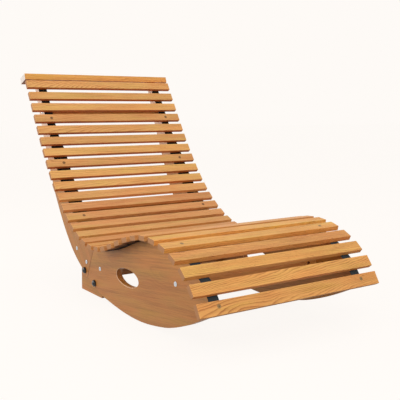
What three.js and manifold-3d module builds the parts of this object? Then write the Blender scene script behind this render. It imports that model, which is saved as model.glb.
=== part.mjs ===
// Rocking chaise lounge in oiled hardwood: two S-shaped side frames, each a
// rocker panel and a backrest board butted together over an inner foot plate,
// five cross rails, and a mat of slats carried on two webbing straps.
// Units are millimetres. +X runs along the slats, -Y is the foot end, +Z is up.
// The floor is z = 0 and the bounding box is centred on x = 0 and y = 0.
import * as THREE from 'three';
import { mergeVertices } from 'three/addons/utils/BufferGeometryUtils.js';
import Module from 'manifold-3d';

const wasm = await Module();
wasm.setup();

// ---------------------------------------------------------------- dimensions
const SLAT_LENGTH = 600;        // overall width of the lounge
const SLAT_THICK = 14.5;
const SLAT_ROUND = 0.9;         // radius on the long edges of a slat
const CAP_DEPTH = 53;           // headrest cap board, front to back
const CAP_THICK = 23;
const CAP_ROUND = 1.2;
const CAP_ANGLE = -17.8;        // degrees, falls towards the back
const CAP_CENTRE = [580.7, 739.0];
const SIDE_X = 239;             // line of the slat screws and the straps
const SIDE_OUT = 250.5;         // outer faces of the side frames
const SIDE_THICK = 20;
const STRAP_THICK = 1.4;
const STRAP_NARROW = 31;        // webbing width at the head and foot
const STRAP_WIDE = 50;          // webbing width through the hollow
const STRAP_OUT = 7;            // how far its outer edge bulges there
const GAP = 0.3;                // clearance between touching pieces
const CENTRE_Y = 1.7463;        // centres the bounding box front to back
const FOOT_THICK = 22;          // inner foot plate
const RAIL_WIDE = 56;
const RAIL_THICK = 22;
const BOLT_HEAD_R = 11;         // black domed bolts
const BOLT_DOME = 9;
const CONNECTOR_HEAD_R = 7;     // silver connector bolts
const BORE_BOLT = 4.5;          // clearance hole for an 8 mm bolt
const BORE_CONNECTOR = 3.7;     // clearance hole for a 6.4 mm connector bolt

const SIDE_IN = SIDE_OUT - SIDE_THICK;
const RAIL_LENGTH = 2 * (SIDE_IN - GAP);
const STRAP_TOP = SLAT_THICK + GAP;            // depth below the slat faces
const STRAP_LOW = STRAP_TOP + STRAP_THICK;
const EDGE_DEPTH = STRAP_LOW + GAP;            // where the side frames begin

// Slats from the head to the foot: [y, z] of the face centre, fall in degrees.
const SLATS = [
  [535.7, 719.4, 59.4], [510.7, 676.3, 59.3], [485.8, 634.3, 60.8], [460.8, 593.0, 59.4],
  [435.6, 552.4, 59.7], [410.0, 512.4, 59.3], [383.7, 473.1, 57.2], [356.5, 434.6, 56.4],
  [328.1, 397.1, 53.8], [298.0, 360.8, 50.0], [265.8, 326.3, 46.8], [231.2, 293.9, 42.2],
  [193.8, 264.6, 38.8], [153.1, 239.0, 32.3], [109.4, 218.3, 24.8], [64.3, 203.6, 15.4],
  [18.6, 196.2, 5.8], [-27.8, 196.8, -4.0], [-75.0, 204.9, -11.9], [-123.3, 218.8, -16.6],
  [-172.7, 235.6, -17.4], [-223.3, 251.9, -14.9], [-275.2, 264.7, -9.5], [-328.4, 271.5, -1.6],
  [-382.4, 270.0, 7.9], [-436.3, 259.2, 16.8], [-488.2, 238.7, 27.2], [-535.7, 209.1, 40.8],
  [-575.5, 171.7, 52.8], [-604.2, 127.8, 61.0],
];
const SCREWED = [5, 9, 14, 27, 31];            // slats that are screwed down
const slatWidth = (n) => (n >= 31 ? 36 : n >= 26 ? 33 : 30.5);

// Depth of the backrest board's rear edge below the slat faces, slats 2 to 10.
const BACK_DEPTH = [55.5, 64, 72, 81, 88, 95.5, 103.5, 112.5, 122];
const BACK_REAR = [
  [404.6, 291.6], [387.0, 265.0], [367.2, 237.4], [345.2, 209.3], [323.6, 184.0],
  [301.2, 160.7], [282.6, 142.6], [258.0, 122.5], [233.8, 105.8], [213.0, 93.6], [200.4, 86.9],
];
const BACK_TIP = [[192.5, 78.5], [182, 69.0], [168, 62.8]];
const SEAM = [
  [90.5, 178.5], [100.2, 162.2], [108.9, 147.4], [117.7, 132.7],
  [126.3, 117.0], [136.4, 99.2], [146.0, 80.5], [154.1, 61.7],
];
const ROCKER_BOTTOM = [
  [-573.2, 96.9], [-554.0, 89.0], [-535.0, 80.2], [-514.0, 70.5], [-489.9, 60.0],
  [-458.9, 47.6], [-412.9, 32.1], [-372.9, 21.0], [-331.9, 13.4], [-287.9, 6.9],
  [-250.0, 2.7], [-213.9, 0.4], [-196, 0], [-164, 0], [-135.0, 1.2], [-94.9, 4.0], [-43.9, 9.6],
  [12.1, 17.3], [41.1, 21.8], [60.0, 25.8], [79.1, 31.0], [97.7, 38.0], [117.4, 47.6],
  [134.0, 55.3],
];
const FOOT_PLATE = [
  [255.8, 0], [250.1, 78], [246.5, 98], [206.1, 116], [166.1, 136], [98.1, 136],
  [74, 112], [70, 48], [84.5, 14], [90.2, 0],
];
const HAND_HOLE = { y: -137.3, z: 113.8, a: 71.8, b: 26.3, chamfer: 2.2 };

const BOLTS = [[174.7, 81.9], [98.2, 51.9]];
const RAILS = [
  { name: 'rail_head', y: 521.7, z: 616.2, flat: 60 },
  { name: 'rail_lumbar', y: 237.1, z: 247.7, flat: 39 },
  { name: 'rail_rear', y: 236.9, z: 147.4, flat: 41 },
  { name: 'rail_seat', y: 51.7, z: 107.8, flat: null },
  { name: 'rail_front', y: -419.7, z: 150.7, flat: null },
];
const FOOT_CONNECTOR = [158.6, 112.8];

// ------------------------------------------------------------------- helpers
const rad = (d) => d * Math.PI / 180;

function slatFrame(n) {                        // n = 2 .. 31
  const [y, z, a] = SLATS[n - 2];
  const c = Math.cos(rad(a)), s = Math.sin(rad(a));
  return { y, z, a, u: [c, s], n: [-s, c] };
}

// A point under slat n: side +1 is its upper edge, -1 its lower edge.
function under(n, side, depth, inset = 1) {
  const f = slatFrame(n);
  const h = side * (slatWidth(n) / 2 - inset);
  return [f.y + f.u[0] * h - f.n[0] * depth, f.z + f.u[1] * h - f.n[1] * depth];
}

function cross(p, d, q, e) {                   // where line p+td meets q+se
  const t = ((q[0] - p[0]) * e[1] - (q[1] - p[1]) * e[0]) / (d[0] * e[1] - d[1] * e[0]);
  return [p[0] + d[0] * t, p[1] + d[1] * t];
}

function smooth(points, count) {
  const curve = new THREE.CatmullRomCurve3(
    points.map((p) => new THREE.Vector3(0, p[0], p[1])), false, 'centripetal');
  return curve.getSpacedPoints(count).map((v) => [v.y, v.z]);
}

const TO_X = new THREE.Matrix4().makeBasis(
  new THREE.Vector3(0, 1, 0), new THREE.Vector3(0, 0, 1), new THREE.Vector3(1, 0, 0));

// Prism along X with a (y, z) outline.
function prismX(points, x0, x1, holes = []) {
  const shape = new THREE.Shape(points.map((p) => new THREE.Vector2(p[0], p[1])));
  for (const h of holes) shape.holes.push(new THREE.Path(h.map((p) => new THREE.Vector2(p[0], p[1]))));
  const g = new THREE.ExtrudeGeometry(shape, { depth: x1 - x0, bevelEnabled: false, steps: 1 });
  g.applyMatrix4(TO_X);
  g.translate(x0, 0, 0);
  return g;
}

function solid(geometry) {
  let g = geometry.clone();
  g.deleteAttribute('normal');
  g.deleteAttribute('uv');
  g = mergeVertices(g, 1e-4);
  const pos = Float32Array.from(g.attributes.position.array);
  const tri = Uint32Array.from(g.index.array);
  return new wasm.Manifold(new wasm.Mesh({ numProp: 3, vertProperties: pos, triVerts: tri }));
}

function geometryOf(manifold) {
  const m = manifold.getMesh();
  const g = new THREE.BufferGeometry();
  const v = new Float32Array(m.vertProperties.length / m.numProp * 3);
  for (let i = 0; i < v.length / 3; i++) {
    for (let k = 0; k < 3; k++) v[3 * i + k] = m.vertProperties[i * m.numProp + k];
  }
  g.setAttribute('position', new THREE.BufferAttribute(v, 3));
  g.setIndex(new THREE.BufferAttribute(Uint32Array.from(m.triVerts), 1));
  g.computeVertexNormals();
  return g;
}

function cut(geometry, cutters) {
  let m = solid(geometry);
  for (const c of cutters) m = m.subtract(c.isBufferGeometry ? solid(c) : c);
  return geometryOf(m);
}

// Cylinder along X from x0 to x1.
function rodX(r, x0, x1, y, z, seg = 14) {
  const g = new THREE.CylinderGeometry(r, r, x1 - x0, seg);
  g.rotateZ(-Math.PI / 2);
  g.translate((x0 + x1) / 2, y, z);
  return g;
}

// Solid of revolution about local Z from an (r, z) profile.
function turned(profile, seg = 16) {
  const g = new THREE.LatheGeometry(profile.map((p) => new THREE.Vector2(p[0], p[1])), seg);
  g.rotateX(Math.PI / 2);                      // lathe axis Y becomes Z
  return g;
}

const material = (color, roughness, metalness = 0) =>
  new THREE.MeshStandardMaterial({ color, roughness, metalness });

const chaise = new THREE.Group();
chaise.position.y = CENTRE_Y;
function add(name, geometry, mat, parent = chaise) {
  const mesh = new THREE.Mesh(geometry, mat);
  mesh.name = name;
  parent.add(mesh);
  return mesh;
}

// --------------------------------------------------------------------- slats
function roundedBar(width, thick, r, top) {
  const pts = [];
  const y = width / 2, z0 = top - thick, z1 = top;
  const corner = (cy, cz, a0) => {
    for (let k = 0; k <= 3; k++) {
      const t = rad(a0 + 30 * k);
      pts.push([cy + r * Math.cos(t), cz + r * Math.sin(t)]);
    }
  };
  corner(y - r, z0 + r, -90);
  corner(y - r, z1 - r, 0);
  corner(-y + r, z1 - r, 90);
  corner(-y + r, z0 + r, 180);
  return prismX(pts, -SLAT_LENGTH / 2, SLAT_LENGTH / 2);
}

// Countersunk screw hole about local Z, face at z = 0. Slat 31 has its pair
// of screws above the middle, the other slats in the middle.
const screwUp = (n) => (n === 31 ? 3.5 : 0);
const screwHole = (depth) => turned(
  [[0, 1], [5.6, 1], [5.6, -0.9], [2.7, -3.9], [2.7, -depth], [0, -depth]].reverse(), 12);

const slatColours = [0xd29a5b, 0xdca766, 0xcf9555, 0xd8a05f, 0xc98f50, 0xe0ad6e, 0xd49b58];

const capFrame = new THREE.Group();
capFrame.position.set(0, CAP_CENTRE[0], CAP_CENTRE[1]);
capFrame.rotation.x = rad(CAP_ANGLE);
chaise.add(capFrame);

// The cap's screws run down into the tips of the backrest boards.
const CAP_SCREW_Y = -9.5;                      // local, from the cap's centre
{
  const holes = [-1, 1].map((s) => {
    const g = screwHole(40);
    g.translate(s * SIDE_X, CAP_SCREW_Y, CAP_THICK / 2);
    return g;
  });
  add('slat_01_headrest_cap', cut(roundedBar(CAP_DEPTH, CAP_THICK, CAP_ROUND, CAP_THICK / 2), holes),
    material(0xd8a05f, 0.55), capFrame);
}

for (let n = 2; n <= 31; n++) {
  const f = slatFrame(n);
  const frame = new THREE.Group();
  frame.position.set(0, f.y, f.z);
  frame.rotation.x = rad(f.a);
  chaise.add(frame);
  let g = roundedBar(slatWidth(n), SLAT_THICK, SLAT_ROUND, 0);
  if (SCREWED.includes(n)) {
    g = cut(g, [-1, 1].map((s) => {
      const h = screwHole(20);
      h.translate(s * SIDE_X, screwUp(n), 0);
      return h;
    }));
  }
  add(`slat_${String(n).padStart(2, '0')}`, g, material(slatColours[n % slatColours.length], 0.55), frame);
}

// Places something drawn about local Z onto slat n at x.
function onSlat(g, n, x) {
  const f = slatFrame(n);
  const h = g.clone();
  h.translate(0, screwUp(n), 0);
  h.rotateX(rad(f.a));
  h.translate(x, f.y, f.z);
  return h;
}
function onCap(g, x) {
  const h = g.clone();
  h.translate(0, CAP_SCREW_Y, CAP_THICK / 2);
  h.rotateX(rad(CAP_ANGLE));
  h.translate(x, CAP_CENTRE[0], CAP_CENTRE[1]);
  return h;
}

// --------------------------------------------------------- side frame outline
const capN = [-Math.sin(rad(CAP_ANGLE)), Math.cos(rad(CAP_ANGLE))];
const capU = [Math.cos(rad(CAP_ANGLE)), Math.sin(rad(CAP_ANGLE))];
const capUnder = [
  CAP_CENTRE[0] - capN[0] * (CAP_THICK / 2 + GAP),
  CAP_CENTRE[1] - capN[1] * (CAP_THICK / 2 + GAP),
];

function topEdge(from, to, depth) {
  const pts = [];
  for (let n = from; n <= to; n++) pts.push(under(n, 1, depth), under(n, -1, depth));
  return pts;
}

const seamTop = under(17, 1, EDGE_DEPTH);
const seam = [seamTop, ...SEAM];

// Backrest board: front edge under slats 2 to 16, seam, tip, rear edge.
function backrestOutline() {
  const f2 = slatFrame(2);
  const front = topEdge(2, 16, EDGE_DEPTH);
  const frontTop = cross(front[0], f2.u, capUnder, capU);
  const rear = BACK_DEPTH.map((d, k) => under(k + 2, 0, d));
  const rearTop = cross(rear[0], [Math.cos(rad(60)), Math.sin(rad(60))], capUnder, capU);
  const seamBack = seam.map((p) => [p[0] + 0.9, p[1] + 0.45]);
  const rearLine = smooth([rearTop, ...rear, ...BACK_REAR], 44).reverse();
  return [frontTop, ...front, ...seamBack, ...BACK_TIP.slice().reverse(), ...rearLine];
}

// Rocker panel: top edge under slats 17 to 31, nose, rocker curve, seam.
function rockerOutline() {
  const top = topEdge(17, 31, EDGE_DEPTH);
  const nose = top[top.length - 1];
  const low = smooth([[nose[0] + 1.5, nose[1] - 1.2], ...ROCKER_BOTTOM.slice(0, 13)], 30);
  const rise = smooth(ROCKER_BOTTOM.slice(13), 22);
  return [...top.slice(1), ...low, ...rise, ...seam.slice().reverse()];
}

const ellipse = (h, seg = 32) => Array.from({ length: seg }, (_, k) => {
  const t = 2 * Math.PI * k / seg;
  return [h.y + h.a * Math.cos(t), h.z + h.b * Math.sin(t)];
});

// Chamfer cutter for the hand hole's rim on the face at x, opening towards dir.
function rimCutter(h, x, dir) {
  const c = h.chamfer, ring = (grow, px) =>
    ellipse({ ...h, a: h.a + grow, b: h.b + grow }).map((p) => [px, p[0], p[1]]);
  return wasm.Manifold.hull([...ring(0, x - dir * c), ...ring(c + 0.5, x + dir * 0.5)]);
}

const insideY = (s, a, b) => (s > 0 ? [a, b] : [-b, -a]);   // mirror an x range

const connectorsBack = [
  ...RAILS.slice(0, 3).map((r) => [r.y, r.z]), FOOT_CONNECTOR,
];
const connectorsRocker = RAILS.slice(3).map((r) => [r.y, r.z]);

for (const [side, s] of [['left', -1], ['right', 1]]) {
  const [b0, b1] = insideY(s, SIDE_IN, SIDE_OUT);
  const through = (list, r) => list.map((p) => rodX(r, b0 - 3, b1 + 3, p[0], p[1]));
  const pilots = (list) => list.map((n) => onSlat(turned([[0, -50], [2.7, -50], [2.7, 0], [0, 0]], 10), n, s * SIDE_X));

  add(`backrest_board_${side}`, cut(prismX(backrestOutline(), b0, b1), [
    ...through(connectorsBack, BORE_CONNECTOR), ...through([BOLTS[0]], BORE_BOLT), ...pilots([5, 9, 14]),
    onCap(turned([[0, -62], [2.7, -62], [2.7, 0], [0, 0]], 10), s * SIDE_X),
  ]), material(0xb07a4c, 0.5));

  add(`rocker_panel_${side}`, cut(prismX(rockerOutline(), b0, b1, [ellipse(HAND_HOLE).reverse()]), [
    ...through(connectorsRocker, BORE_CONNECTOR), ...through([BOLTS[1]], BORE_BOLT), ...pilots([27, 31]),
    rimCutter(HAND_HOLE, b0, -1), rimCutter(HAND_HOLE, b1, 1),
  ]), material(0xb07a4c, 0.5));

  const [f0, f1] = insideY(s, SIDE_IN - GAP - FOOT_THICK, SIDE_IN - GAP);
  add(`foot_plate_${side}`, cut(prismX(FOOT_PLATE, f0, f1), [
    ...BOLTS.map((p) => rodX(BORE_BOLT, f0 - 3, f1 + 3, p[0], p[1])),
    rodX(BORE_CONNECTOR, f0 - 3, f1 + 3, ...FOOT_CONNECTOR),
  ]), material(0xa8713f, 0.5));

  // webbing strap, narrow at both ends, wide through the hollow
  const upper = topEdge(2, 31, STRAP_TOP), lower = topEdge(2, 31, STRAP_LOW);
  const w = STRAP_WIDE / 2, v = STRAP_NARROW / 2, o = w + STRAP_OUT;
  const [r0, r1] = insideY(s, SIDE_X - w, SIDE_X + o);
  const ribbon = prismX([...upper, ...lower.reverse()], r0, r1);
  const plan = [[-620, -v], [-330, -v], [-230, -w], [395, -w], [455, -v], [640, -v],  // inner edge
    [640, v], [455, v], [395, w], [80, w], [0, o], [-265, o], [-340, v], [-620, v]];  // outer edge
  const planShape = new THREE.Shape(plan.map((p) => new THREE.Vector2(s * (SIDE_X + p[1]), p[0])));
  const planPrism = new THREE.ExtrudeGeometry(planShape, { depth: 800, bevelEnabled: false, steps: 1 });
  let strap = solid(ribbon).intersect(solid(planPrism));
  for (const n of SCREWED) {
    strap = strap.subtract(solid(onSlat(turned([[0, -20], [2.7, -20], [2.7, -10], [0, -10]], 10), n, s * SIDE_X)));
  }
  add(`webbing_strap_${side}`, geometryOf(strap), material(0x1d1e20, 0.75));
}

// --------------------------------------------------------------------- rails
for (const r of RAILS) {
  const flat = r.flat !== null;
  const g = new THREE.BoxGeometry(RAIL_LENGTH, flat ? RAIL_WIDE : RAIL_THICK, flat ? RAIL_THICK : RAIL_WIDE);
  const cutters = [];
  for (const s of [-1, 1]) {
    const end = s * RAIL_LENGTH / 2;
    cutters.push(rodX(BORE_CONNECTOR, Math.min(end + s * 3, end - s * 46), Math.max(end + s * 3, end - s * 46), 0, 0));
    const nutBore = new THREE.CylinderGeometry(5.5, 5.5, 18.3, 14);   // along local Y
    nutBore.translate(0, -2.85, 0);                                   // open on one wide face
    if (flat) nutBore.rotateX(Math.PI / 2);
    nutBore.translate(end - s * 30, 0, 0);
    cutters.push(nutBore);
  }
  const frame = new THREE.Group();
  frame.position.set(0, r.y, r.z);
  if (flat) frame.rotation.x = rad(r.flat);
  chaise.add(frame);
  add(r.name, cut(g, cutters), material(0xa8713f, 0.5), frame);
}

// ------------------------------------------------------------------ hardware
const silver = () => material(0xc9ccd0, 0.3, 0.9);
const black = () => material(0x111214, 0.28);

// Drawn about +Z with the head outward, then turned to point along -X or +X.
function outward(g, s, x, y, z) {
  const h = g.clone();
  h.rotateY(s > 0 ? Math.PI / 2 : -Math.PI / 2);
  h.translate(s * x, y, z);
  return h;
}
const connector = (length) => turned([
  [0, 0.4], [2.4, 0.4], [2.4, 1.4], [5.8, 1.4], [CONNECTOR_HEAD_R, 0.7], [CONNECTOR_HEAD_R, 0],
  [3.2, 0], [3.2, -length], [0, -length]].reverse(), 14);
const domeBolt = (length) => {
  const p = [];
  for (let k = 0; k <= 5; k++) {
    const t = rad(90 - 18 * k);
    p.push([k === 0 ? 0 : BOLT_HEAD_R * Math.cos(t), 1.2 + (BOLT_DOME - 1.2) * Math.sin(t)]);
  }
  p.push([BOLT_HEAD_R, 0], [4, 0], [4, -length], [0, -length]);
  return turned(p.reverse(), 20);
};
const disc = (r, z0, z1, seg = 16) => {
  const g = new THREE.CylinderGeometry(r, r, z1 - z0, seg);
  g.rotateX(Math.PI / 2);
  g.translate(0, 0, (z0 + z1) / 2);
  return g;
};
// A bolt and the nut run onto its thread are one tightened piece.
function tightened(...geometries) {
  let m = solid(geometries[0]);
  for (const g of geometries.slice(1)) m = m.add(solid(g));
  return geometryOf(m);
}

const stack = SIDE_THICK + GAP + FOOT_THICK;    // board and foot plate together
const back = -stack - 2 * GAP;                  // just clear of the plate's inner face
for (const [side, s] of [['left', -1], ['right', 1]]) {
  const head = SIDE_OUT + GAP;

  // Connector bolts: through the side board into a barrel nut in the rail.
  for (const r of RAILS) {
    const nut = new THREE.CylinderGeometry(5, 5, 14, 14);              // along local Y
    nut.translate(0, -1, 0);
    if (r.flat !== null) nut.rotateX(Math.PI / 2 + rad(r.flat));
    nut.rotateY(s > 0 ? -Math.PI / 2 : Math.PI / 2);                   // into the bolt's own frame
    nut.translate(0, 0, -(head - (RAIL_LENGTH / 2 - 30)));
    const bolt = tightened(connector(SIDE_THICK + 40), nut);
    add(`${r.name.replace('rail_', 'connector_')}_${side}`, outward(bolt, s, head, r.y, r.z), silver());
  }

  // The connector that holds the foot plate, with its washer and nut.
  add(`connector_foot_${side}`, outward(tightened(
    connector(stack + 9), disc(8, back - 1.5, back), disc(5.8, back - 6.5, back - 1.4, 6),
  ), s, head, ...FOOT_CONNECTOR), silver());

  // Black domed bolts that clamp the two boards to the foot plate.
  BOLTS.forEach((p, k) => add(`foot_bolt_${k ? 'lower' : 'upper'}_${side}`, outward(tightened(
    domeBolt(stack + 11), disc(9, back - 1.5, back), disc(7.5, back - 8, back - 1.4, 6),
  ), s, head, ...p), black()));
}

export default chaise;
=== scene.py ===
import math
import random

import bmesh
import bpy
from mathutils import Euler, Matrix, Vector


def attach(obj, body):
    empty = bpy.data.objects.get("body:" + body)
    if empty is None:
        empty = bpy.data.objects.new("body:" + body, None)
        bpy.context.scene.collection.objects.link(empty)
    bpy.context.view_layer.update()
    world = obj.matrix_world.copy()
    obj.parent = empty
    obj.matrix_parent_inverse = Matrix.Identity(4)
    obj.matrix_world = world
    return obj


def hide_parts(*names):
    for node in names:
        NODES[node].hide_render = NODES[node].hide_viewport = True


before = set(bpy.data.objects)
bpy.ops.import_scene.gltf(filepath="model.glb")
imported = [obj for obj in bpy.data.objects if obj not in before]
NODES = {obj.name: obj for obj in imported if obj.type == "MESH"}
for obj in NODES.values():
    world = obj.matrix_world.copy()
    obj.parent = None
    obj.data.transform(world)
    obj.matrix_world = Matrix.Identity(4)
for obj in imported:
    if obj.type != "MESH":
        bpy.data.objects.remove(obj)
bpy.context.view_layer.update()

MM = 0.001

# ------------------------------------------------------------------ the frame
# Sizes repeated from the CAD, in millimetres; CY is its front-to-back offset.
CY = 1.7463
SLATS = [
    (535.7, 719.4, 59.4), (510.7, 676.3, 59.3), (485.8, 634.3, 60.8), (460.8, 593.0, 59.4),
    (435.6, 552.4, 59.7), (410.0, 512.4, 59.3), (383.7, 473.1, 57.2), (356.5, 434.6, 56.4),
    (328.1, 397.1, 53.8), (298.0, 360.8, 50.0), (265.8, 326.3, 46.8), (231.2, 293.9, 42.2),
    (193.8, 264.6, 38.8), (153.1, 239.0, 32.3), (109.4, 218.3, 24.8), (64.3, 203.6, 15.4),
    (18.6, 196.2, 5.8), (-27.8, 196.8, -4.0), (-75.0, 204.9, -11.9), (-123.3, 218.8, -16.6),
    (-172.7, 235.6, -17.4), (-223.3, 251.9, -14.9), (-275.2, 264.7, -9.5), (-328.4, 271.5, -1.6),
    (-382.4, 270.0, 7.9), (-436.3, 259.2, 16.8), (-488.2, 238.7, 27.2), (-535.7, 209.1, 40.8),
    (-575.5, 171.7, 52.8), (-604.2, 127.8, 61.0),
]
CAP = (580.7, 739.0, -17.8)
CAP_HALF = 11.5
CAP_SCREW_Y = -9.5
SCREWED = (5, 9, 14, 27, 31)
SCREW_UP = {31: 3.5}
SIDE_X = 239.0
SIDE_OUT = 250.5
SIDE_IN = 230.5
RAIL_END = 230.2
BOLTS = {"upper": (174.7, 81.9), "lower": (98.2, 51.9)}
RAILS = {
    "head": (521.7, 616.2, 60.0), "lumbar": (237.1, 247.7, 39.0), "rear": (236.9, 147.4, 41.0),
    "seat": (51.7, 107.8, None), "front": (-419.7, 150.7, None),
}
FOOT_CONNECTOR = (158.6, 112.8)
STACK = 42.3


def slat_width(n):
    return 36.0 if n >= 31 else 33.0 if n >= 26 else 30.5


def at(x, y, z):
    """A CAD point in millimetres as a scene point in metres."""
    return Vector((x * MM, (y + CY) * MM, z * MM))


# ------------------------------------------------------------- node shorthand
class Graph:
    """Short names for building a material's nodes."""

    def __init__(self, name):
        self.mat = bpy.data.materials.new(name)
        self.mat.use_nodes = True
        self.t = self.mat.node_tree
        self.t.nodes.clear()
        self.out = self.t.nodes.new("ShaderNodeOutputMaterial")
        self.bsdf = self.t.nodes.new("ShaderNodeBsdfPrincipled")
        self.t.links.new(self.bsdf.outputs[0], self.out.inputs["Surface"])

    def put(self, socket, value):
        if isinstance(value, bpy.types.NodeSocket):
            self.t.links.new(value, socket)
        else:
            socket.default_value = value

    def math(self, op, a, b=None, c=None, clamp=False):
        n = self.t.nodes.new("ShaderNodeMath")
        n.operation = op
        n.use_clamp = clamp
        for k, v in enumerate((a, b, c)):
            if v is not None:
                self.put(n.inputs[k], v)
        return n.outputs[0]

    def add(self, a, b): return self.math("ADD", a, b)
    def sub(self, a, b): return self.math("SUBTRACT", a, b)
    def mul(self, a, b): return self.math("MULTIPLY", a, b)
    def mad(self, a, b, c): return self.math("MULTIPLY_ADD", a, b, c)

    def vec(self, x, y, z):
        n = self.t.nodes.new("ShaderNodeCombineXYZ")
        for k, v in enumerate((x, y, z)):
            self.put(n.inputs[k], v)
        return n.outputs[0]

    def split(self, v):
        n = self.t.nodes.new("ShaderNodeSeparateXYZ")
        self.put(n.inputs[0], v)
        return n.outputs

    def noise(self, v, scale=1.0, detail=2.0, rough=0.5, distort=0.0):
        n = self.t.nodes.new("ShaderNodeTexNoise")
        n.noise_dimensions = "3D"
        self.put(n.inputs["Vector"], v)
        n.inputs["Scale"].default_value = scale
        n.inputs["Detail"].default_value = detail
        n.inputs["Roughness"].default_value = rough
        n.inputs["Distortion"].default_value = distort
        return n.outputs[0]

    def smooth(self, v, lo, hi, to0=0.0, to1=1.0):
        n = self.t.nodes.new("ShaderNodeMapRange")
        n.interpolation_type = "SMOOTHSTEP"
        for k, x in enumerate((v, lo, hi, to0, to1)):
            self.put(n.inputs[k], x)
        return n.outputs[0]

    def ramp(self, v, stops, interp="LINEAR"):
        n = self.t.nodes.new("ShaderNodeValToRGB")
        self.put(n.inputs[0], v)
        r = n.color_ramp
        r.interpolation = interp
        while len(r.elements) > 1:
            r.elements.remove(r.elements[0])
        for k, (p, c) in enumerate(stops):
            e = r.elements[0] if k == 0 else r.elements.new(p)
            e.position = p
            e.color = (*c, 1.0) if isinstance(c, tuple) else (c, c, c, 1.0)
        return n.outputs[0]

    def mix(self, f, a, b, mode="MIX"):
        n = self.t.nodes.new("ShaderNodeMix")
        n.data_type = "RGBA"
        n.blend_type = mode
        self.put(n.inputs[0], f)
        self.put(n.inputs[6], a)
        self.put(n.inputs[7], b)
        return n.outputs[2]

    def local(self, loc, rot):
        """Object coordinates turned into a piece's own frame, in metres."""
        tc = self.t.nodes.new("ShaderNodeTexCoord")
        m = self.t.nodes.new("ShaderNodeMapping")
        m.vector_type = "TEXTURE"
        self.t.links.new(tc.outputs["Object"], m.inputs["Vector"])
        m.inputs["Location"].default_value = loc
        m.inputs["Rotation"].default_value = rot
        return m.outputs[0]

    def normal(self):
        return self.t.nodes.new("ShaderNodeNewGeometry").outputs["Normal"]

    def dot(self, a, b):
        n = self.t.nodes.new("ShaderNodeVectorMath")
        n.operation = "DOT_PRODUCT"
        self.put(n.inputs[0], a)
        self.put(n.inputs[1], b)
        return n.outputs["Value"]

    def bump(self, height, strength, distance):
        n = self.t.nodes.new("ShaderNodeBump")
        n.inputs["Strength"].default_value = strength
        n.inputs["Distance"].default_value = distance
        self.put(n.inputs["Height"], height)
        self.t.links.new(n.outputs[0], self.bsdf.inputs["Normal"])


def srgb(r, g, b):
    """8-bit display colour to linear, with alpha."""
    def f(v):
        v /= 255
        return v / 12.92 if v <= 0.04045 else ((v + 0.055) / 1.055) ** 2.4
    return (f(r), f(g), f(b), 1.0)


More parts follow.
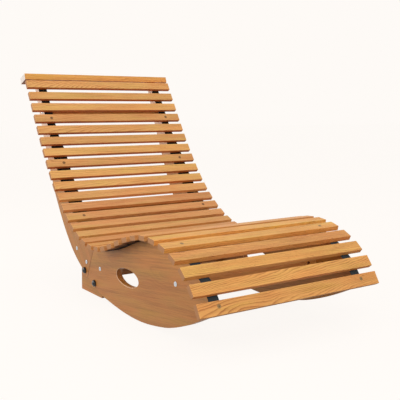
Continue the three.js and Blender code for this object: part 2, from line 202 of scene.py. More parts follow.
# ----------------------------------------------------------------- materials
def wood(name, loc, axes, seed, light, dark, end, half, ring=0.0042, ring_mix=0.5, pith=None, tilt=None,
         wander=(0.006, 0.010), flame=0.004, fibre=0.6, vary=0.5, rough=0.50, wear=0.30, edges=0.0, rim=None,
         top_sheen=0.0, seam=False, under=0.0, painted_top_light=0.0, strap_shade=0.0, edge_shading_tint=(0.70, 0.38, 0.14)):
    """Sawn, oiled hardwood. Local x is the grain, y the width, z the face normal.
    Growth rings are cylinders round a pith that lies off the board and wanders along it.
    pith is (y, z) in metres, tilt its slope in y and z along the board."""
    rnd = random.Random(seed)
    g = Graph(name)
    rot = Matrix(axes).transposed().to_euler("XYZ")
    p = g.local(loc, tuple(rot))
    X, Y, Z = g.split(p)
    s1, s2, s3 = (rnd.uniform(-40, 40) for _ in range(3))
    if pith is None:
        pith = (rnd.choice((-1, 1)) * rnd.uniform(0.020, 0.036), rnd.uniform(0.022, 0.045))
    if tilt is None:
        tilt = (rnd.uniform(-0.02, 0.02), rnd.choice((-1, 1)) * rnd.uniform(0.02, 0.07))
    w1 = g.noise(g.vec(g.mad(X, 3.1, s1), s2, s3), 1.0, 3.0, 0.55)
    w2 = g.noise(g.vec(g.mad(X, 2.3, s2), s3, s1), 1.0, 2.0, 0.5)
    w3 = g.noise(g.vec(g.mad(X, 21.0, s3), g.mul(Y, 70.0), g.mul(Z, 70.0)), 1.0, 3.0, 0.6)
    yy = g.add(g.mad(X, tilt[0], pith[0]), g.add(Y, g.mad(g.sub(w1, 0.5), wander[0] * 4.0, g.mul(g.sub(w3, 0.5), flame * 3.0))))
    zz = g.add(g.mad(X, tilt[1], pith[1]), g.add(Z, g.mul(g.sub(w2, 0.5), wander[1] * 4.0)))
    r = g.math("SQRT", g.add(g.mul(yy, yy), g.mul(zz, zz)))
    uneven = g.noise(g.vec(g.mul(r, 60.0), s1, s2), 1.0, 2.0, 0.5)
    f = g.math("FRACT", g.add(g.mul(r, 1.0 / ring), g.mul(uneven, 2.6)))
    rings = g.ramp(f, [(0.0, 0.30), (0.10, 0.03), (0.50, 0.16), (0.78, 0.55), (0.92, 1.0), (1.0, 0.30)])
    fade = g.noise(g.vec(g.mad(X, 9.0, s2), g.mad(Y, 60.0, s1), g.mul(Z, 60.0)), 1.0, 2.0, 0.5)
    rings = g.mul(rings, g.smooth(fade, 0.22, 0.66, 0.45, 1.25))
    fib = g.noise(g.vec(g.mad(X, 9.0, s2), g.mul(Y, 460.0), g.mul(Z, 460.0)), 1.0, 4.0, 0.65)
    streak = g.noise(g.vec(g.mad(X, 3.4, s1), g.mad(Y, 130.0, s3), g.mul(Z, 130.0)), 1.0, 3.0, 0.6)
    pore_n = g.noise(g.vec(g.mul(X, 90.0), g.mad(Y, 1400.0, s1), g.mul(Z, 1400.0)), 1.0, 1.0, 0.5)
    pore = g.smooth(pore_n, 0.58, 0.72)
    cloud = g.noise(g.vec(g.mad(X, 4.2, s3), g.mul(Y, 16.0), g.mul(Z, 16.0)), 1.0, 3.0, 0.55)
    tone = g.mul(rings, ring_mix)
    tone = g.mad(g.sub(fib, 0.5), fibre, tone)
    tone = g.mad(g.sub(streak, 0.5), fibre * 1.1, tone)
    tone = g.mad(g.sub(cloud, 0.5), vary, tone)
    tone = g.mad(pore, 0.20, tone)
    tone = g.math("ADD", tone, 0.10, clamp=True)
    colour = g.mix(tone, light, dark)
    # heartwood runs a little redder, sapwood a little yellower
    hue = g.noise(g.vec(g.mad(X, 5.5, s1), g.mad(Y, 34.0, s2), g.mul(Z, 34.0)), 1.0, 3.0, 0.55)
    colour = g.mix(g.smooth(hue, 0.38, 0.66), colour, (1.03, 0.90, 0.86, 1.0), "MULTIPLY")
    colour = g.mix(g.smooth(hue, 0.48, 0.26), colour, (0.95, 1.01, 0.80, 1.0), "MULTIPLY")
    # end grain: rings seen across, duller
    across = g.math("ABSOLUTE", g.dot(g.normal(), tuple(axes[0])))
    ends = g.smooth(across, 0.72, 0.95)
    speck = g.noise(g.vec(g.mul(X, 30.0), g.mul(Y, 1300.0), g.mul(Z, 1300.0)), 1.0, 2.0, 0.6)
    end_tone = g.math("ADD", g.mul(rings, 0.30), g.mul(g.sub(speck, 0.45), 0.9), clamp=True)
    end_dark = tuple(c * 0.58 for c in end[:3]) + (1.0,)
    colour = g.mix(ends, colour, g.mix(end_tone, end, end_dark))
    # painted shade on the narrow edges where the tint is below one, painted light where it is above one; they also stay
    # matt
    narrow = None
    if edges:
        narrow = g.smooth(g.math("ABSOLUTE", g.dot(g.normal(), tuple(axes[1]))), 0.70, 0.98)
        colour = g.mix(g.mul(narrow, edges), colour, edge_shading_tint + (1.0,), "MULTIPLY")
    if strap_shade:
        # painted shade beside the strap, low on the narrow edges and on the undersides
        beside = g.mul(g.smooth(g.math("ABSOLUTE", X), 0.190, 0.215), g.smooth(g.math("ABSOLUTE", X), 0.294, 0.284))
        low = g.mul(g.mul(narrow, g.smooth(Z, -0.0060, -0.0118)), beside)
        colour = g.mix(g.mul(low, strap_shade), colour, (0.16, 0.11, 0.09, 1.0), "MULTIPLY")
        face_down = g.mul(g.smooth(g.dot(g.normal(), tuple(axes[2])), -0.80, -0.98), beside)
        colour = g.mix(g.mul(face_down, strap_shade), colour, (0.12, 0.08, 0.07, 1.0), "MULTIPLY")
    if under:
        # painted shade on the underside near the ends
        below = g.mul(g.smooth(g.dot(g.normal(), tuple(axes[2])), -0.80, -0.98),
                      g.smooth(g.math("ABSOLUTE", X), 0.272, 0.288))
        colour = g.mix(g.mul(below, under), colour, (0.34, 0.17, 0.12, 1.0), "MULTIPLY")
    worn = tuple(min(1.0, c * 1.20 + 0.03) for c in light[:3]) + (1.0,)
    if half is not None:
        # handled edges and corners, rubbed a little paler
        ex = g.smooth(g.math("ABSOLUTE", X), half[0] - 0.0040, half[0] - 0.0006)
        ey = g.smooth(g.math("ABSOLUTE", Y), half[1] - 0.0034, half[1] - 0.0006)
        up = g.smooth(g.dot(g.normal(), tuple(axes[2])), 0.3, 0.8)
        rub = g.noise(g.vec(g.mad(X, 24.0, s2), g.mul(Y, 60.0), g.mul(Z, 60.0)), 1.0, 3.0, 0.6)
        edge = g.mul(g.mul(g.math("MAXIMUM", ex, ey), up), g.smooth(rub, 0.40, 0.66))
        colour = g.mix(g.mul(edge, wear), colour, worn)
    if rim is not None:
        # sanded chamfer round the hand hole, paler where the saw went through, and brightened further as a painted
        # highlight where the chamfer catches the light
        reach, ra, rb, cy_, cz_ = rim
        ox, oy, oz = g.split(g.t.nodes.new("ShaderNodeTexCoord").outputs["Object"])
        u = g.mul(g.sub(oy, cy_), 1.0 / ra)
        v = g.mul(g.sub(oz, cz_), 1.0 / rb)
        d = g.math("SQRT", g.add(g.mul(u, u), g.mul(v, v)))
        slope = g.math("ABSOLUTE", g.dot(g.normal(), (1.0, 0.0, 0.0)))
        band = g.mul(g.smooth(d, reach, reach - 0.02), g.mul(g.smooth(slope, 0.15, 0.45), g.smooth(slope, 0.998, 0.93)))
        colour = g.mix(g.mul(band, 0.9), colour, srgb(238, 196, 160))
    if seam:
        # oil and dust darken the butt joint of board and panel
        _, oy, oz = g.split(g.t.nodes.new("ShaderNodeTexCoord").outputs["Object"])
        up_mm = g.mul(oz, 1000.0)
        joint = g.mad(g.mad(g.mad(up_mm, 7.3924e-6, -3.3888e-3), up_mm, -0.075834), up_mm, 170.025 + CY)
        off = g.math("ABSOLUTE", g.sub(g.mul(oy, 1000.0), joint))
        line = g.mul(g.smooth(off, 3.0, 0.8), g.smooth(oz, 0.184, 0.178))
        colour = g.mix(g.mul(line, 0.75), colour, (0.52, 0.44, 0.36, 1.0), "MULTIPLY")
    if painted_top_light:
        # painted light: the panel's upper band is lightened, against the shade under the overhanging slats
        oz = g.split(g.t.nodes.new("ShaderNodeTexCoord").outputs["Object"])[2]
        colour = g.mix(g.smooth(oz, 0.135, 0.225), colour, (painted_top_light, painted_top_light * 0.97, painted_top_light * 0.93, 1.0), "MULTIPLY")
    if top_sheen:
        # painted sheen: the upper backrest boards are painted paler towards the top
        height = g.split(g.t.nodes.new("ShaderNodeTexCoord").outputs["Object"])[2]
        pale = g.mad(g.sub(cloud, 0.5), 0.35, g.mad(g.sub(streak, 0.5), 0.25, g.smooth(height, 0.36, 0.60)))
        pale = g.math("MULTIPLY", g.math("ADD", pale, 0.0, clamp=True), g.mul(g.smooth(height, 0.33, 0.42), top_sheen))
        colour = g.mix(pale, colour, srgb(226, 196, 176))
    g.put(g.bsdf.inputs["Base Color"], colour)
    rr = g.mad(fib, 0.16, rough - 0.08)
    rr = g.mad(ends, 0.18, rr)
    if narrow is not None:
        rr = g.mad(narrow, 0.24, rr)
    rr = g.math("ADD", rr, g.mul(pore, 0.10), clamp=True)
    g.put(g.bsdf.inputs["Roughness"], rr)
    g.bsdf.inputs["Specular IOR Level"].default_value = 0.36
    height = g.add(g.mul(fib, 0.55), g.sub(g.mul(rings, 0.18), g.mul(pore, 0.5)))
    g.bump(height, 0.32, 0.00035)
    return g.mat


def slat_axes(angle):
    c, s = math.cos(math.radians(angle)), math.sin(math.radians(angle))
    return ((1.0, 0.0, 0.0), (0.0, c, s), (0.0, -s, c))


def board_axes(angle, side):
    """Grain in the y-z plane at an angle from +Y, face normal along -X or +X."""
    c, s = math.cos(math.radians(angle)), math.sin(math.radians(angle))
    grain = Vector((0.0, c, s))
    face = Vector((float(side), 0.0, 0.0))
    return (tuple(grain), tuple(face.cross(grain)), tuple(face))


def webbing_material():
    """Black polypropylene webbing: warp cords along it, weft across, dust in the hollows."""
    g = Graph("webbing_black")
    uv = g.t.nodes.new("ShaderNodeAttribute")
    uv.attribute_name = "strap_uv"
    u, v, _ = g.split(uv.outputs["Vector"])      # u across, v along, in millimetres
    warp = g.math("ABSOLUTE", g.math("SINE", g.mul(u, math.pi / 1.9)))
    weft = g.math("SINE", g.mad(v, math.pi / 1.25, g.mul(g.math("FLOOR", g.mul(u, 1 / 1.9)), math.pi)))
    weave = g.add(g.mul(warp, 0.65), g.mul(g.mad(weft, 0.5, 0.5), 0.35))
    fuzz = g.noise(g.vec(g.mul(u, 0.9), g.mul(v, 0.5), 0.0), 1.0, 4.0, 0.65)
    dust = g.noise(g.vec(g.mul(u, 0.06), g.mul(v, 0.02), 3.0), 1.0, 3.0, 0.5)
    tone = g.math("ADD", g.mul(weave, 0.55), g.mul(g.sub(fuzz, 0.5), 0.6), clamp=True)
    col = g.mix(tone, srgb(4, 4, 5), srgb(20, 20, 22))
    # painted light: the front end, which faces the light, is coloured a paler slate
    aside, along, _ = g.split(g.t.nodes.new("ShaderNodeTexCoord").outputs["Object"])
    front_lit = g.mix(tone, srgb(32, 38, 42), srgb(70, 84, 90))
    col = g.mix(g.smooth(along, -0.33, -0.50), col, front_lit)
    col = g.mix(g.smooth(dust, 0.52, 0.75, 0.0, 0.12), col, srgb(66, 70, 72))
    # painted shade: the edge outside the panel, in the slats' shadow, is darkened to deep black
    outer_shade = g.smooth(g.math("ABSOLUTE", aside), 0.2525, 0.2565)
    col = g.mix(g.mul(outer_shade, 0.85), col, (0.10, 0.08, 0.08, 1.0), "MULTIPLY")
    g.put(g.bsdf.inputs["Base Color"], col)
    g.put(g.bsdf.inputs["Roughness"], g.mad(fuzz, 0.2, 0.50))
    g.bsdf.inputs["Specular IOR Level"].default_value = 0.10
    g.bump(weave, 0.6, 0.0003)
    return g.mat


def metal_material(name, base, dark, rough, metallic, scale=900.0, coat=0.0, scratch=0.5):
    g = Graph(name)
    tc = g.t.nodes.new("ShaderNodeTexCoord").outputs["Object"]
    x, y, z = g.split(tc)
    spot = g.noise(tc, scale, 4.0, 0.6)
    fine = g.noise(g.vec(g.mul(x, 600.0), g.mul(y, 5200.0), g.mul(z, 900.0)), 1.0, 3.0, 0.6)
    wear = g.noise(tc, scale * 0.28, 3.0, 0.55)
    tone = g.math("ADD", g.mul(g.sub(spot, 0.42), 1.1), g.mul(g.sub(fine, 0.5), scratch), clamp=True)
    g.put(g.bsdf.inputs["Base Color"], g.mix(tone, base, dark))
    g.put(g.bsdf.inputs["Roughness"], g.math("ADD", g.mul(wear, 0.22), rough - 0.09, clamp=True))
    g.bsdf.inputs["Metallic"].default_value = metallic
    if coat:
        g.bsdf.inputs["Coat Weight"].default_value = coat
        g.bsdf.inputs["Coat Roughness"].default_value = 0.08
    g.bump(g.add(g.mul(spot, 0.6), g.mul(fine, 0.4)), 0.10, 0.00012)
    return g.mat


# ------------------------------------------------------------- piece helpers
def new_piece(name, verts, faces, material, slot=None, smooth=True, sharp=35.0):
    me = bpy.data.meshes.new(name)
    me.from_pydata([tuple(v) for v in verts], [], faces)
    me.validate()
    bm = bmesh.new()
    bm.from_mesh(me)
    bmesh.ops.remove_doubles(bm, verts=bm.verts, dist=1e-6)
    bmesh.ops.recalc_face_normals(bm, faces=bm.faces)
    bm.to_mesh(me)
    bm.free()
    if smooth:
        me.polygons.foreach_set("use_smooth", [True] * len(me.polygons))
        me.set_sharp_from_angle(angle=math.radians(sharp))
    o = bpy.data.objects.new(name, me)
    bpy.context.scene.collection.objects.link(o)
    me.materials.append(material)
    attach(o, "root")
    return o


def lathe(profile, seg, place):
    """Closed solid of revolution; profile is (radius, height), ends at radius 0."""
    verts, faces, rings = [], [], []
    for r, h in profile:
        if r < 1e-9:
            rings.append([len(verts)])
            verts.append(place(Vector((0, 0, h))))
        else:
            ids = []
            for k in range(seg):
                t = 2 * math.pi * k / seg
                ids.append(len(verts))
                verts.append(place(Vector((r * math.cos(t), r * math.sin(t), h))))
            rings.append(ids)
    for a, b in zip(rings, rings[1:]):
        for k in range(seg):
            a0, a1 = (a[0], a[0]) if len(a) == 1 else (a[k], a[(k + 1) % seg])
            b0, b1 = (b[0], b[0]) if len(b) == 1 else (b[k], b[(k + 1) % seg])
            face = [i for j, i in enumerate((a0, a1, b1, b0)) if i not in (a0, a1, b1, b0)[:j]]
            if len(face) > 2:
                faces.append(face)
    return verts, faces


def prism(sides, r, z0, z1, place, turn=0.0, chamfer=0.0):
    """Hexagonal and similar nuts, with chamfered corners top and bottom."""
    verts, faces, rings = [], [], []
    rc = r * (1 - chamfer)
    for rr, h in ((rc, z0), (r, z0 + chamfer * r * 0.5), (r, z1 - chamfer * r * 0.5), (rc, z1)):
        ids = []
        for k in range(sides):
            t = 2 * math.pi * k / sides + turn
            ids.append(len(verts))
            verts.append(place(Vector((rr * math.cos(t), rr * math.sin(t), h))))
        rings.append(ids)
    for a, b in zip(rings, rings[1:]):
        for k in range(sides):
            faces.append([a[k], a[(k + 1) % sides], b[(k + 1) % sides], b[k]])
    faces.append(list(reversed(rings[0])))
    faces.append(rings[-1])
    return verts, faces


def joined(*parts):
    verts, faces = [], []
    for v, f in parts:
        n = len(verts)
        verts += v
        faces += [[i + n for i in face] for face in f]
    return verts, faces


def sideways(s, x, y, z):
    """Local +Z along -X or +X, starting at a CAD point, local lengths in mm."""
    def place(p):
        return at(s * (x + p.z), y + p.x, z + p.y)
    return place


# --------------------------------------------------------------------- wood
LIGHT = srgb(230, 172, 92)
DARK = srgb(158, 92, 34)
END = srgb(184, 128, 79)

# Every board was sawn from another piece: brightness, warmth and ring lay-out differ.
rng = random.Random(20)
tints = {n: (rng.uniform(0.92, 1.04), rng.uniform(-0.02, 0.02)) for n in range(1, 32)}
tints.update({1: (1.15, -0.01), 5: (0.87, 0.04), 7: (0.90, 0.02), 9: (0.87, 0.04), 13: (0.87, 0.03),
              14: (0.92, 0.02), 15: (0.93, 0.02), 16: (0.96, -0.02), 17: (0.87, 0.04), 19: (0.92, 0.00),
              20: (0.86, 0.02), 26: (0.98, -0.03), 27: (0.92, -0.02), 28: (0.82, 0.02)})
# (pith y, pith z), (slope in y, slope in z), flame height in metres
CUTS = {
    31: ((0.030, 0.050), (0.01, -0.065), 0.0030),
    30: ((-0.030, 0.045), (-0.01, 0.060), 0.0030),
    29: ((0.028, 0.030), (0.01, 0.040), 0.0040),
    28: ((-0.026, 0.035), (0.00, -0.045), 0.0040),
    2: ((0.024, 0.045), (0.00, -0.10), 0.0040),
}


def tinted(colour, k, warm):
    return (min(1, colour[0] * k * (1 + warm)), min(1, colour[1] * k * (1 - warm)),
            min(1, colour[2] * k * (1 + 0.5 * warm)), 1.0)


def dressed(node, material, width, segments=2, angle=40.0):
    """Keeps a CAD node, softens its sharp edges and gives it its material."""
    o = NODES[node]
    me = o.data
    me.materials.clear()
    me.materials.append(material)
    if width:
        weld = o.modifiers.new("weld", "WELD")
        weld.merge_threshold = 2e-6
        flat = o.modifiers.new("flat", "DECIMATE")
        flat.decimate_type = "DISSOLVE"
        flat.angle_limit = math.radians(0.3)
        bev = o.modifiers.new("soft_edges", "BEVEL")
        bev.limit_method = "ANGLE"
        bev.angle_limit = math.radians(angle)
        bev.width = width * MM
        bev.segments = segments
        bev.use_clamp_overlap = True
        bev.miter_outer = "MITER_ARC"
    wn = o.modifiers.new("normals", "WEIGHTED_NORMAL")
    wn.weight = 80
    wn.keep_sharp = False
    me.normals_split_custom_set([(0.0, 0.0, 0.0)] * len(me.loops))
    me.polygons.foreach_set("use_smooth", [True] * len(me.polygons))
    return o


LIGHT_TOP = srgb(225, 174, 99)     # the upper slats, a cooler batch
LIGHT_LOW = srgb(217, 163, 97)     # the slats in the hollow, a duller one
for n in range(2, 32):
    y, z, a = SLATS[n - 2]
    k, warm = tints[n]
    light = LIGHT_TOP if n < 12 else LIGHT_LOW if n < 26 else LIGHT
    pith, tilt, flame = CUTS.get(n, (None, None, 0.0035))
    # Narrow edges: painted shade on slats 2 to 11 and 20 to 25, painted light on the others; slats 20 to 25 also get
    # painted shade beside the strap.
    mat = wood(f"slat_wood_{n:02d}", at(0, y, z), slat_axes(a), 100 + n, tinted(light, k, warm),
               tinted(DARK, k, warm), END, (0.300, slat_width(n) * MM / 2), ring=0.0028 if n in CUTS else 0.0034,
               ring_mix=0.66 if n in CUTS else 0.50, pith=pith, tilt=tilt, flame=flame,
               edges=0.85 if n < 12 else 0.15 if 19 < n < 26 else 1.0, strap_shade=0.9 if 19 < n < 26 else 0.0,
               edge_shading_tint=(0.90, 0.49, 0.18) if n < 12 else (1.30, 1.22, 1.12) if n < 17 else
               (1.15, 1.05, 0.92) if n < 20 else (0.70, 0.38, 0.14) if n < 26 else
               (1.22, 1.10, 0.95) if n < 29 else (1.10, 1.04, 0.98))
    dressed(f"slat_{n:02d}", mat, 0.6)

k, warm = tints[1]
# the cap's end grain is painted near white, a painted highlight; its narrow edges and its underside near the ends get
# painted shade
mat = wood("slat_wood_01", at(0, CAP[0], CAP[1]), slat_axes(CAP[2]), 71, tinted(LIGHT, k, warm),
           tinted(DARK, k, warm), srgb(230, 221, 214), (0.300, 0.0265), ring=0.0040, ring_mix=0.42, edges=0.20, under=0.9)
dressed("slat_01_headrest_cap", mat, 0.8)

BOARD_LIGHT = srgb(184, 124, 52)
BOARD_DARK = srgb(122, 70, 22)
BOARD_END = srgb(172, 108, 50)
HOLE = (1.085, 0.0718, 0.0263, (-137.3 + CY) * MM, 113.8 * MM)
for side, s in (("left", -1), ("right", 1)):
    mid = s * (SIDE_OUT + SIDE_IN) / 2
    seed = 300 if s < 0 else 340
    # the rocker panel's upper band is painted lighter, and its hand-hole chamfer gets a painted highlight
    m = wood(f"board_wood_rocker_{side}", at(mid, -150, 110), board_axes(-7.0, s), seed, BOARD_LIGHT, BOARD_DARK,
             BOARD_END, None, ring=0.0050, ring_mix=0.20, pith=(0.05, 0.040), tilt=(0.06, 0.03), wander=(0.016, 0.012),
             flame=0.003, fibre=0.95, vary=0.7, rough=0.46, rim=HOLE, seam=True, painted_top_light=1.28)
    dressed(f"rocker_panel_{side}", m, 1.0, 2, 50.0)
    # the backrest boards are painted paler towards the top, a painted sheen
    m = wood(f"board_wood_backrest_{side}", at(mid, 330, 380), board_axes(54.0, s), seed + 1, BOARD_LIGHT, BOARD_DARK,
             BOARD_END, None, ring=0.0050, ring_mix=0.20, pith=(-0.03, 0.040), tilt=(-0.06, 0.04), wander=(0.014, 0.010),
             flame=0.003, fibre=0.95, vary=0.7, rough=0.46, top_sheen=0.85, seam=True)
    dressed(f"backrest_board_{side}", m, 1.6, 2, 50.0)
    m = wood(f"board_wood_foot_{side}", at(s * 219.2, 165, 60), board_axes(0.0, s), seed + 2,
             tinted(BOARD_LIGHT, 0.98, 0.02), tinted(BOARD_DARK, 0.98, 0.02), BOARD_END, None, ring=0.0058,
             ring_mix=0.26, fibre=0.9, vary=0.6, rough=0.48)
    dressed(f"foot_plate_{side}", m, 1.2, 2, 50.0)

# the rails near the open ends are of the slats' paler wood
RAIL_TONES = {"head": (srgb(232, 176, 104), srgb(172, 108, 48)), "front": (srgb(234, 166, 94), srgb(178, 106, 46))}
for k, (name, (y, z, flat)) in enumerate(RAILS.items()):
    light, dark = RAIL_TONES.get(name, (tinted(BOARD_LIGHT, 0.86, 0.02), tinted(BOARD_DARK, 0.86, 0.02)))
    axes = slat_axes(flat if flat is not None else 90.0)
    m = wood(f"rail_wood_{name}", at(0, y, z), axes, 400 + k, light, dark, BOARD_END, (0.2302, 0.028), ring=0.0052,
             ring_mix=0.32, fibre=0.8, vary=0.6, rough=0.52)
    dressed(f"rail_{name}", m, 1.4, 2, 50.0)

# ------------------------------------------------------------------- webbing
WEB = webbing_material()


def strap_path():
    """Centre line under the slats, as (y, z) points."""
    corners = []
    for n in range(2, 32):
        y, z, a = SLATS[n - 2]
        c, s = math.cos(math.radians(a)), math.sin(math.radians(a))
        for side in (1, -1):
            h = side * (slat_width(n) / 2 - 1)
            corners.append((y + c * h + s * 15.5, z + s * h - c * 15.5))
    pts = [corners[0]]
    for a, b in zip(corners, corners[1:]):
        d = math.hypot(b[0] - a[0], b[1] - a[1])
        k = max(1, round(d / 1.5))
        pts += [(a[0] + (b[0] - a[0]) * i / k, a[1] + (b[1] - a[1]) * i / k) for i in range(1, k + 1)]
    for _ in range(2):
        pts = [pts[0]] + [tuple((p[j] + 2 * q[j] + r[j]) / 4 for j in (0, 1))
                          for p, q, r in zip(pts, pts[1:], pts[2:])] + [pts[-1]]
    return pts


def eased(y, steps):
    """Steps are (from y, to y, value before, value after), front to back."""
    for a, b, wa, wb in steps:
        if y < a:
            return wa
        if y <= b:
            t = (y - a) / (b - a)
            t = t * t * (3 - 2 * t)
            return wa + (wb - wa) * t
    return steps[-1][3]


def strap_inner(y):
    """Width inwards of the screw line: narrow at both ends, wide through the hollow."""
    return eased(y, ((-330, -230, 15.5, 25.0), (395, 455, 25.0, 15.5)))


def strap_outer(y):
    return eased(y, ((-340, -265, 15.5, 32.0), (0, 80, 32.0, 25.0), (395, 455, 25.0, 15.5)))


def droop(y):
    """How far the free outer edge hangs, a little more on the way up to the hump."""
    return eased(y, ((-320, -290, 0.6, 3.4), (-215, -150, 3.4, 0.6)))


PATH = strap_path()
for side, s in (("left", -1), ("right", 1)):
    across = [-1.0, -0.975, -0.93, -0.86, -0.7, -0.5, -0.3, -0.1, 0.1, 0.3, 0.5, 0.7, 0.86, 0.93, 0.975, 1.0]
    verts, faces, coords = [], [], []
    run = 0.0
    m = 2 * len(across)
    for i, (y, z) in enumerate(PATH):
        a, b = PATH[max(0, i - 1)], PATH[min(len(PATH) - 1, i + 1)]
        t = Vector((0, b[0] - a[0], b[1] - a[1])).normalized()
        nrm = Vector((0, t.z, -t.y))                       # upwards, towards the sitter
        if i:
            run += math.hypot(y - PATH[i - 1][0], z - PATH[i - 1][1])
        wi, wo = strap_inner(y) - 0.05, strap_outer(y) - 0.05
        rib = 0.05 * math.sin(run * math.pi / 2.5)
        end = min(1.0, (0.35 + run / 4.0), 1.0 if i < len(PATH) - 4 else 0.5)
        for sign in (1, -1):
            order = across if sign > 0 else across[::-1]
            for q in order:
                thick = 0.70 * math.sqrt(max(0.06, 1 - abs(q) ** 10)) * end
                selvedge = 0.06 if abs(q) > 0.86 else 0.0
                h = sign * (thick - 0.08 + rib * (1 - abs(q)) + selvedge)
                w = wo if s * q > 0 else wi
                c = Vector((s * SIDE_X + q * w, y, z))
                p = c + nrm * h
                p -= nrm * droop(y) * max(0.0, (s * q * w + SIDE_X - SIDE_OUT - 1.0) / 19.5)
                verts.append(at(p.x, p.y, p.z))
                coords.append((q * w, run, 0.0))
    for i in range(len(PATH) - 1):
        for k in range(m):
            a, b = i * m + k, i * m + (k + 1) % m
            faces.append([a, b, b + m, a + m])
    faces.append([k for k in range(m)][::-1])
    faces.append([(len(PATH) - 1) * m + k for k in range(m)])
    me = bpy.data.meshes.new(f"webbing_{side}")
    me.from_pydata([tuple(v) for v in verts], [], faces)
    at_uv = me.attributes.new("strap_uv", "FLOAT_VECTOR", "POINT")
    at_uv.data.foreach_set("vector", [c for p in coords for c in p])
    bm = bmesh.new()
    bm.from_mesh(me)
    bmesh.ops.recalc_face_normals(bm, faces=bm.faces)
    bm.to_mesh(me)
    bm.free()
    me.polygons.foreach_set("use_smooth", [True] * len(me.polygons))
    o = bpy.data.objects.new(f"webbing_{side}", me)
    bpy.context.scene.collection.objects.link(o)
    me.materials.append(WEB)
    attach(o, "root")
    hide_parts(f"webbing_strap_{side}")

# ------------------------------------------------------------------ hardware
ZINC = metal_material("zinc_steel", srgb(205, 209, 213), srgb(150, 156, 162), 0.28, 0.95, 700.0)
BLACK = metal_material("black_gloss", srgb(8, 8, 9), srgb(16, 17, 19), 0.20, 0.0, 500.0, scratch=0.25)
BRONZE = metal_material("screw_metal", srgb(138, 98, 58), srgb(74, 48, 30), 0.38, 0.6, 1500.0)
BRASS = metal_material("screw_metal_pale", srgb(160, 128, 84), srgb(94, 70, 44), 0.40, 0.6, 1500.0)


def arc(cx, cy, r, a0, a1, n):
    return [(cx + r * math.cos(math.radians(a0 + (a1 - a0) * k / n)),
             cy + r * math.sin(math.radians(a0 + (a1 - a0) * k / n))) for k in range(n + 1)]


def hex_socket(r_hex, depth, top, place, seg=48):
    """Ring of vertices that turns the socket's mouth from round to six-sided."""
    verts, faces = [], []
    outer, mouth, floor = [], [], []
    for k in range(seg):
        t = 2 * math.pi * k / seg
        w = (t % (math.pi / 3)) - math.pi / 6
        rh = r_hex * math.cos(math.pi / 6) / math.cos(w)
        for ring, r, h in ((outer, r_hex + 0.35, top), (mouth, rh, top - 0.15), (floor, rh, top - depth)):
            ring.append(len(verts))
            verts.append(place(Vector((r * math.cos(t), r * math.sin(t), h))))
    centre = len(verts)
    verts.append(place(Vector((0, 0, top - depth - 0.25))))
    for k in range(seg):
        j = (k + 1) % seg
        faces += [[outer[k], outer[j], mouth[j], mouth[k]], [mouth[k], mouth[j], floor[j], floor[k]],
                  [floor[k], floor[j], centre]]
    return verts, faces


def connector_bolt(name, s, y, z, length, nut=None, washer=False):
    place = sideways(s, SIDE_OUT + 0.3, y, z)
    head = [(2.75, 1.4), (5.7, 1.4)] + arc(5.9, 0.75, 0.65, 85, 30, 3) + arc(6.6, 0.35, 0.4, 60, 0, 3) + [
        (7.0, 0.0), (3.2, 0.0), (3.2, -length + 1.0), (2.4, -length), (0, -length)]
    parts = [lathe(head, 48, place), hex_socket(2.4, 1.0, 1.4, place)]
    if nut is not None:
        flat = nut
        c, si = (0.0, 1.0) if flat is None else (math.cos(math.radians(flat)), math.sin(math.radians(flat)))
        d = Vector((0, -si, c)) if flat is not None else Vector((0, 1, 0))
        u = Vector((1, 0, 0))
        v = d.cross(u)
        cx = s * (RAIL_END - 30)

        def nut_place(p, u=u, v=v, d=d, cx=cx):
            q = Vector((cx, y, z)) + u * p.x + v * p.y + d * p.z
            return at(q.x, q.y, q.z)
        parts.append(lathe([(0, -8), (4.6, -8), (5, -7.6), (5, 5.6), (4.6, 6), (0, 6)], 32, nut_place))
    if washer:
        b = -STACK - 0.6
        parts.append(lathe([(3.2, b), (7.7, b), (8, b - 0.3), (8, b - 1.2), (7.7, b - 1.5), (3.2, b - 1.5)], 40, place))
        parts.append(prism(6, 5.8, b - 6.5, b - 1.5, place, 0.3, 0.08))
    o = new_piece(name, *joined(*parts), ZINC, "connector_steel", sharp=30)
    return o


for key, (y, z, flat) in RAILS.items():
    for side, s in (("left", -1), ("right", 1)):
        o = connector_bolt(f"connector_bolt_{key}_{side}", s, y, z, 60.0, nut=flat if flat is not None else None)
        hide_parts(f"connector_{key}_{side}")

for side, s in (("left", -1), ("right", 1)):
    o = connector_bolt(f"connector_bolt_foot_{side}", s, FOOT_CONNECTOR[0], FOOT_CONNECTOR[1], STACK + 9, washer=True)
    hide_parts(f"connector_foot_{side}")
    for key, (y, z) in BOLTS.items():
        place = sideways(s, SIDE_OUT + 0.3, y, z)
        dome = [(0, 9.0)] + [(11 * math.cos(math.radians(t)), 1.6 + 7.4 * math.sin(math.radians(t)))
                             for t in range(84, 5, -6)] + [(11.0, 1.5), (11.0, 0.5), (10.7, 0.0), (4, 0.0),
                                                          (4, -STACK - 10), (3.2, -STACK - 11), (0, -STACK - 11)]
        b = -STACK - 0.6
        parts = [lathe(dome, 56, place),
                 lathe([(4, b), (8.7, b), (9, b - 0.3), (9, b - 1.2), (8.7, b - 1.5), (4, b - 1.5)], 40, place),
                 prism(6, 7.5, b - 8, b - 1.5, place, 0.2, 0.08)]
        o = new_piece(f"dome_bolt_{key}_{side}", *joined(*parts), BLACK, "bolt_black", sharp=32)
        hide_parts(f"foot_bolt_{key}_{side}")


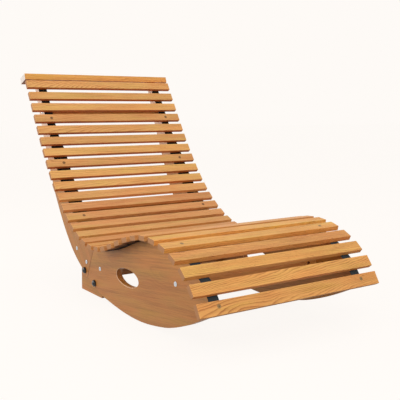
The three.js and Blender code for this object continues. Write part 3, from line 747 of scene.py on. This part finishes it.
def wood_screw(name, place, metal):
    """Countersunk screw, its head a little below the face, with a cross recess."""
    top = -0.15
    verts, faces = lathe([(3.1, top + 0.05), (5.1, top), (5.36, top - 0.10), (5.4, top - 0.25), (2.55, -3.75),
                          (2.0, -4.4), (2.0, -18.0), (0, -22.0)], 40, place)
    n = len(verts)
    seg, recess = 40, []
    rings = []
    for r0, r1, h in ((3.1, 3.1, top + 0.05), (2.5, 1.2, top - 0.05), (2.3, 0.8, top - 1.3)):
        ids = []
        for k in range(seg):
            t = 2 * math.pi * k / seg
            cross = max(abs(math.cos(2 * t)) ** 6, 0.0)
            r = r1 + (r0 - r1) * cross
            ids.append(n + len(recess))
            recess.append(place(Vector((r * math.cos(t), r * math.sin(t), h))))
        rings.append(ids)
    verts += recess
    centre = len(verts)
    verts.append(place(Vector((0, 0, top - 1.9))))
    for a, b in zip(rings, rings[1:]):
        for k in range(seg):
            j = (k + 1) % seg
            faces.append([a[k], a[j], b[j], b[k]])
    for k in range(seg):
        faces.append([rings[-1][k], rings[-1][(k + 1) % seg], centre])
    return new_piece(name, verts, faces, metal, "connector_steel", sharp=40)


def on_plane(x, y, z, angle):
    c, si = math.cos(math.radians(angle)), math.sin(math.radians(angle))

    def place(p):
        return at(x + p.x, y + p.y * c - p.z * si, z + p.y * si + p.z * c)
    return place


for side, s in (("left", -1), ("right", 1)):
    for n in SCREWED:
        y, z, a = SLATS[n - 2]
        up = SCREW_UP.get(n, 0.0)
        c, si = math.cos(math.radians(a)), math.sin(math.radians(a))
        wood_screw(f"slat_screw_{n:02d}_{side}", on_plane(s * SIDE_X, y + up * c, z + up * si, a),
                   BRASS if n > 26 else BRONZE)
    c, si = math.cos(math.radians(CAP[2])), math.sin(math.radians(CAP[2]))
    wood_screw(f"slat_screw_01_{side}", on_plane(
        s * SIDE_X, CAP[0] + CAP_SCREW_Y * c - CAP_HALF * si, CAP[1] + CAP_SCREW_Y * si + CAP_HALF * c, CAP[2]), BRONZE)

# ------------------------------------------------------------ camera, studio
R_RIGHT = Vector((0.839015, -0.543896, -0.015192))
R_DOWN = Vector((-0.074730, -0.087532, -0.993355))
R_FWD = Vector((0.538952, 0.834575, -0.114086))
cam_data = bpy.data.cameras.new("camera")
cam = bpy.data.objects.new("camera", cam_data)
bpy.context.scene.collection.objects.link(cam)
m = Matrix((R_RIGHT, -R_DOWN, -R_FWD)).transposed().to_4x4()
m.translation = at(-1117.84, -1886.15, 565.43)
cam.matrix_world = m
cam_data.sensor_width = 36.0
cam_data.lens = 668.087 / 400 * 36.0
cam_data.clip_start = 0.05
cam_data.clip_end = 200.0
bpy.context.scene.camera = cam

bpy.context.scene.view_settings.view_transform = "Standard"

PALE = (0.991, 0.956, 0.922, 1.0)

# Sweep: pale floor that mostly glows by itself, as a lit sweep does, so that shadows stay faint.
g = Graph("floor_pale")
tc = g.t.nodes.new("ShaderNodeTexCoord").outputs["Object"]
mottle = g.noise(tc, 3.0, 3.0, 0.5)
g.put(g.bsdf.inputs["Base Color"], g.mix(mottle, (0.060, 0.058, 0.056, 1.0), (0.056, 0.054, 0.052, 1.0)))
g.bsdf.inputs["Roughness"].default_value = 1.0
g.bsdf.inputs["Specular IOR Level"].default_value = 0.0
g.bsdf.inputs["Emission Color"].default_value = PALE
g.bsdf.inputs["Emission Strength"].default_value = 0.948
me = bpy.data.meshes.new("floor")
me.from_pydata([(-90, -90, -0.0004), (90, -90, -0.0004), (90, 90, -0.0004), (-90, 90, -0.0004)], [], [(0, 1, 2, 3)])
floor = bpy.data.objects.new("floor", me)
bpy.context.scene.collection.objects.link(floor)
me.materials.append(g.mat)
floor.visible_diffuse = False

world = bpy.data.worlds.new("studio")
bpy.context.scene.world = world
world.use_nodes = True
wt = world.node_tree
wt.nodes.clear()
wo = wt.nodes.new("ShaderNodeOutputWorld")
bg = wt.nodes.new("ShaderNodeBackground")
wt.links.new(bg.outputs[0], wo.inputs[0])
wtc = wt.nodes.new("ShaderNodeTexCoord")
wsep = wt.nodes.new("ShaderNodeSeparateXYZ")
wt.links.new(wtc.outputs["Generated"], wsep.inputs[0])
wr = wt.nodes.new("ShaderNodeValToRGB")
wm = wt.nodes.new("ShaderNodeMapRange")
wm.inputs[1].default_value = -1.0
wm.inputs[2].default_value = 1.0
wt.links.new(wsep.outputs[2], wm.inputs[0])
wt.links.new(wm.outputs[0], wr.inputs[0])
el = wr.color_ramp.elements
el[0].position, el[0].color = 0.0, (0.13, 0.105, 0.085, 1)
el[1].position, el[1].color = 1.0, (0.80, 0.79, 0.78, 1)
for pos, col in ((0.43, (0.15, 0.12, 0.10, 1)), (0.475, PALE), (0.60, PALE), (0.70, (0.80, 0.78, 0.76, 1))):
    e = el.new(pos)
    e.color = col
wt.links.new(wr.outputs[0], bg.inputs[0])
bg.inputs[1].default_value = 1.0


def area(name, loc, aim, size, energy, colour=(1, 1, 1)):
    d = bpy.data.lights.new(name, "AREA")
    d.shape = "RECTANGLE"
    d.size, d.size_y = size
    d.energy = energy
    d.color = colour
    o = bpy.data.objects.new(name, d)
    bpy.context.scene.collection.objects.link(o)
    o.location = loc
    o.rotation_euler = (Vector(aim) - Vector(loc)).to_track_quat("-Z", "Y").to_euler()
    o.visible_camera = False
    return o


area("key", (-0.9, -2.3, 2.4), (0.0, 0.0, 0.3), (1.6, 1.6), 30.0, (1.0, 0.985, 0.96))
area("top", (0.3, 0.4, 3.2), (0.0, 0.0, 0.2), (2.4, 2.4), 14.0, (1.0, 0.99, 0.98))
area("side", (-2.3, 1.7, 1.0), (0.0, 0.0, 0.4), (2.2, 0.9), 32.0, (1.0, 0.99, 0.985))
